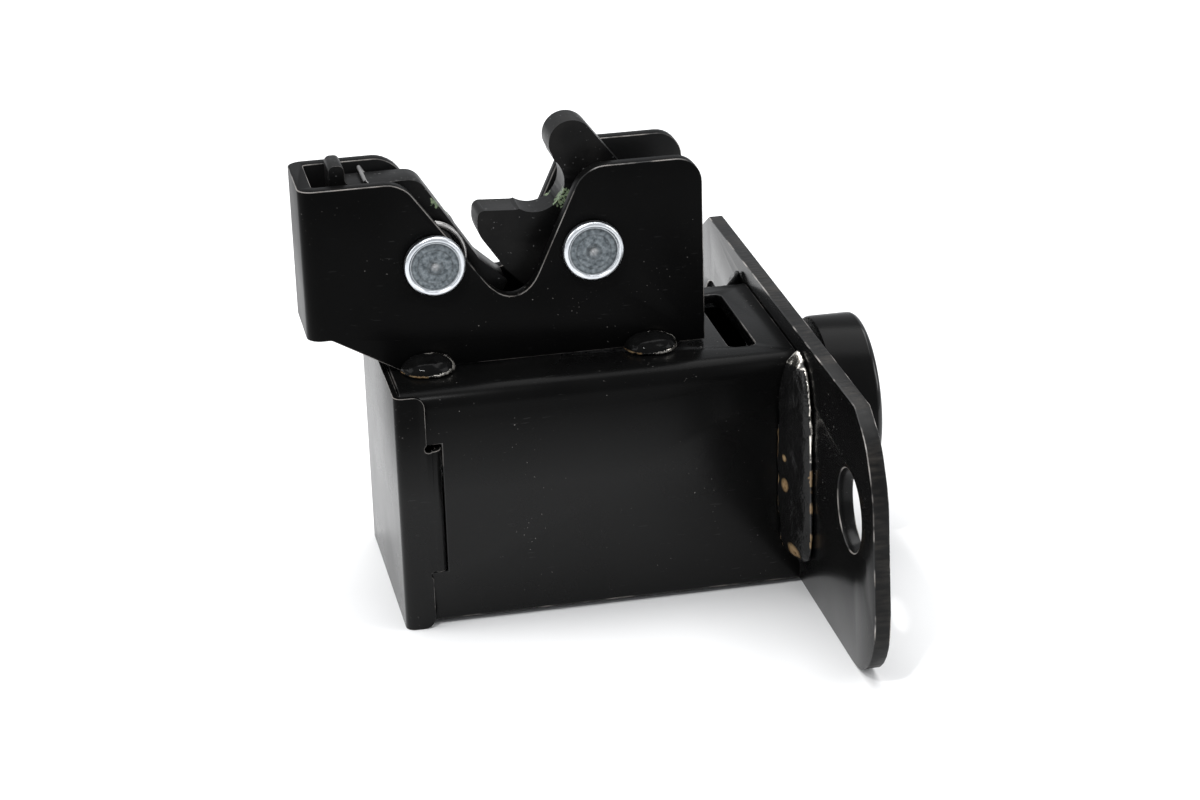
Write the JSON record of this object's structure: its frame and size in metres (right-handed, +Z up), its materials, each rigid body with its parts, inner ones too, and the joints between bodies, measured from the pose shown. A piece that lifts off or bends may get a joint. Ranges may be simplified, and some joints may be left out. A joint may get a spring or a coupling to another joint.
{
  "type": "gate latch",
  "caption": "Gravity gate latch: a rotary fork and pawl in a V-mouthed housing on a welded steel box, with a bolt-on mounting plate and a push button.",
  "frame": {"origin": "middle of the object's bottom face, level with the lower edges of the mounting plate and the end cover", "axes": "+X along the box from the end cover to the push button, +Y across the box along the mounting plate, +Z up"},
  "size_m": [0.1164, 0.145, 0.0974],
  "materials": {
    "black_paint": "semi-gloss black paint, worn bright on sheared edges",
    "weld_paint": "glossy black paint over lumpy weld, brown in places",
    "black_phosphate": "dark oiled steel plate",
    "zinc_plate": "bright zinc plating",
    "spring_steel": "plain spring steel",
    "bronze": "turned bronze",
    "button_plastic": "satin black moulding"
  },
  "bodies": {
    "frame": {"box_channel": "black_paint", "end_cover": "black_paint", "mounting_plate": "black_paint", "latch_housing": "black_paint", "plate_weld_front": "weld_paint", "plate_weld_rear": "weld_paint", "housing_weld_front_1": "weld_paint", "housing_weld_front_2": "weld_paint", "housing_weld_rear_1": "weld_paint", "housing_weld_rear_2": "weld_paint", "fork_rivet": "zinc_plate", "pawl_rivet": "zinc_plate", "fork_bush": "spring_steel", "pawl_bush": "spring_steel", "guide_bush": "bronze", "rod_bracket": "black_paint", "return_spring": "spring_steel", "pawl_spring": "spring_steel", "fork_spring": "spring_steel"},
    "fork": {"fork": "black_phosphate"},
    "pawl": {"pawl": "black_phosphate"},
    "button": {"push_button": "button_plastic", "push_rod": "zinc_plate", "pusher_arm": "zinc_plate", "pusher_nut": "zinc_plate", "spring_collar": "zinc_plate", "rod_clip": "spring_steel"}
  },
  "joints": [
    {"name": "fork_swing", "type": "hinge", "parent": "frame", "child": "fork", "pos_m": [-0.00035, 0.0037, 0.0725], "axis": [0, -1, 0], "range_deg": [0, 50], "stiffness_Nm_per_rad": 0.04, "springref_deg": -28.65, "deforming": ["fork_spring"]},
    {"name": "pawl_swing", "type": "hinge", "parent": "frame", "child": "pawl", "pos_m": [-0.03235, 0.0037, 0.0725], "axis": [0, 1, 0], "range_deg": [0, 28], "deforming": ["pawl_spring"]},
    {"name": "button_push", "type": "slide", "parent": "frame", "child": "button", "axis": [-1, 0, 0], "range_m": [0, 0.0055], "stiffness_N_per_m": 500, "springref_m": -0.006, "deforming": ["return_spring"]}
  ],
  "couplings": [
    {"joint": "pawl_swing", "follows": "fork_swing", "ratio": 0.54}
  ]
}
